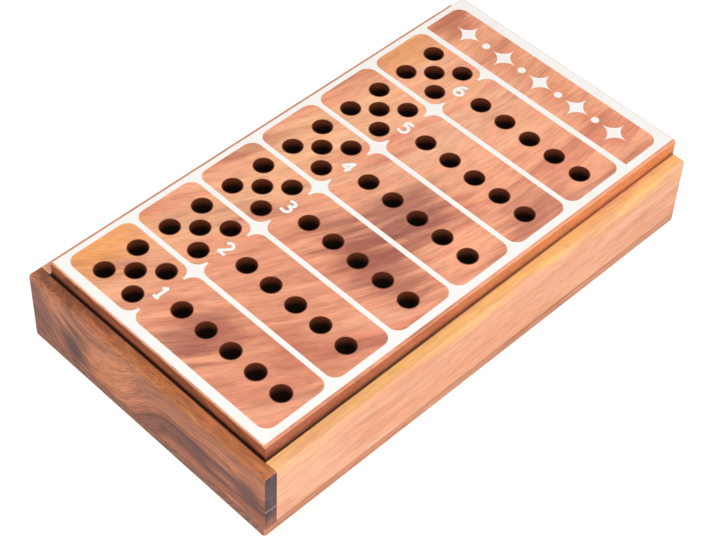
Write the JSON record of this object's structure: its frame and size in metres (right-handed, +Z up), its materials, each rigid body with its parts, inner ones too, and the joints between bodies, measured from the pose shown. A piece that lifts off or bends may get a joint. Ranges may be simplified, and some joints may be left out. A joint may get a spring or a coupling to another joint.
{
  "type": "wooden code-breaking game",
  "caption": "Shallow wooden box of pegs closed by a sliding board drilled with rows of peg holes for a two-player code-breaking game.",
  "frame": {"origin": "middle of the underside of the box", "axes": "+Y along the box from the first row to the plain end, the way the board slides off; +X along a row of holes from the key holes to the code holes; +Z up"},
  "size_m": [0.1304, 0.2298, 0.0415],
  "materials": {
    "box_bottom": "eased and oiled wood",
    "end_wood": "dark streaked oiled wood",
    "side_wood": "light oiled wood",
    "divider_wood": "planed wood",
    "panel_wood": "thin planed wood",
    "board_wood": "streaked oiled wood, white screen print",
    "red_stain": "satin painted wood",
    "orange_stain": "satin painted wood",
    "yellow_stain": "satin painted wood",
    "green_stain": "satin painted wood",
    "blue_stain": "satin painted wood",
    "brown_stain": "satin painted wood",
    "black_stain": "satin painted wood",
    "white_stain": "satin painted wood"
  },
  "bodies": {
    "box": {"bottom_panel": "box_bottom", "near_end_wall": "end_wood", "far_end_wall": "end_wood", "left_side_wall": "side_wood", "right_side_wall": "side_wood", "tray_divider": "divider_wood", "red_code_pegs": "red_stain", "orange_code_pegs": "orange_stain", "yellow_code_pegs": "yellow_stain", "green_code_pegs": "green_stain", "blue_code_pegs": "blue_stain", "brown_code_pegs": "brown_stain", "black_key_pegs": "black_stain", "white_key_pegs": "white_stain"},
    "sliding_board": {"playing_board": "board_wood", "slide_panel": "panel_wood"}
  },
  "joints": [
    {"name": "board_slide", "type": "slide", "parent": "box", "child": "sliding_board", "axis": [0, 1, 0], "range_m": [0, 0.22605]}
  ]
}
